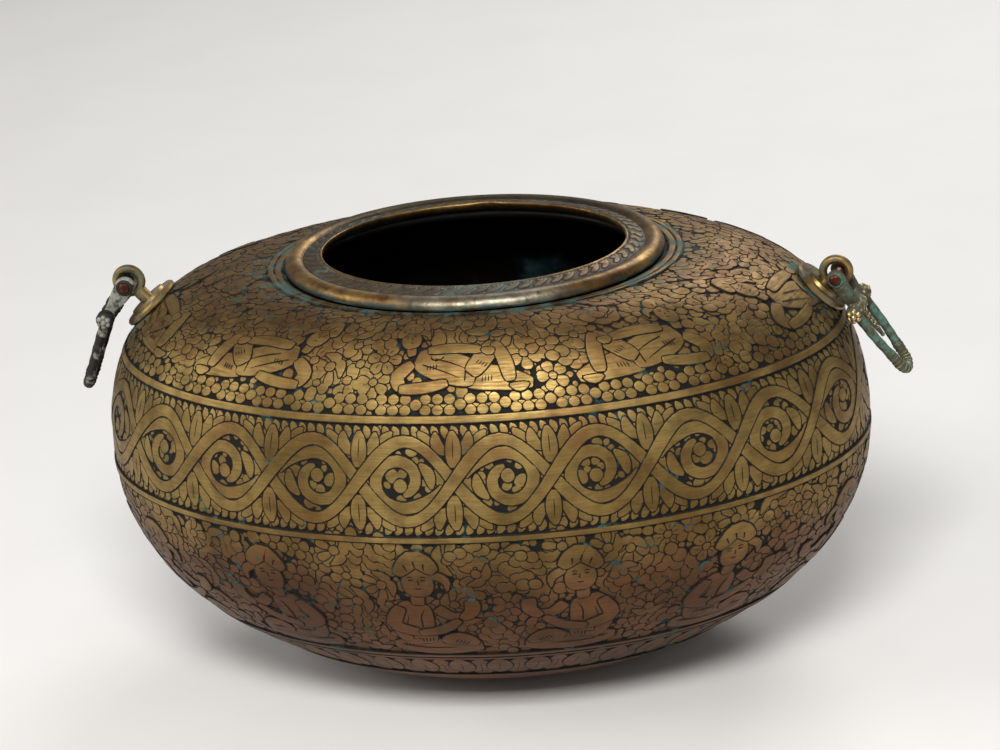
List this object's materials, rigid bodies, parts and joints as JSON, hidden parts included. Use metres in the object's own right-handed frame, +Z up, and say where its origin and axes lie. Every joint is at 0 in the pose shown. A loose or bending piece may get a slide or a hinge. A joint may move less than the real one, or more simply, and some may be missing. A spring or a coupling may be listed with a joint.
{
  "type": "kashkul begging bowl",
  "caption": "Oval begging bowl of engraved brass with a collared mouth on top and, at each end, a boss with an eye, a riveted link and a swinging drop bail for a chain.",
  "frame": {"origin": "centre of the flat that the bowl stands on", "axes": "+Z up through the mouth, +X along the bowl towards the right handle, -Y towards the viewer of the picture"},
  "size_m": [0.2729, 0.173, 0.1418],
  "materials": {
    "engraved_brass": "engraved brass and copper with a blackened ground, satin",
    "worn_brass": "hand-worn brass, satin",
    "copper": "copper, hammered heads",
    "left_bronze": "dark bronze with a pale patina",
    "right_bronze": "bronze with a green patina"
  },
  "bodies": {
    "root": {"bowl_shell": "engraved_brass", "mouth_collar": "worn_brass", "left_boss": "worn_brass", "left_eye": "worn_brass", "left_rove": "copper", "right_boss": "worn_brass", "right_eye": "worn_brass", "right_rove": "copper"},
    "left_link_body": {"left_link": "left_bronze", "left_rivet": "copper", "left_cross_pin": "left_bronze"},
    "left_bail_body": {"left_bail": "left_bronze"},
    "right_link_body": {"right_link": "right_bronze", "right_rivet": "copper", "right_cross_pin": "right_bronze"},
    "right_bail_body": {"right_bail": "right_bronze"}
  },
  "joints": [
    {"name": "left_link_swing", "type": "hinge", "parent": "root", "child": "left_link_body", "pos_m": [-0.11501, 0, 0.13169], "axis": [0, 1, 0], "range_deg": [0, 100]},
    {"name": "left_bail_swing", "type": "hinge", "parent": "left_link_body", "child": "left_bail_body", "pos_m": [-0.12206, 0, 0.12198], "axis": [0, 1, 0], "range_deg": [-13, 90]},
    {"name": "right_link_swing", "type": "hinge", "parent": "root", "child": "right_link_body", "pos_m": [0.11596, 0, 0.12612], "axis": [-0.1488, -0.9848, -0.0894], "range_deg": [0, 100]},
    {"name": "right_bail_swing", "type": "hinge", "parent": "right_link_body", "child": "right_bail_body", "pos_m": [0.12214, 0, 0.11584], "axis": [-0.1488, -0.9848, -0.0894], "range_deg": [-20, 90]}
  ]
}
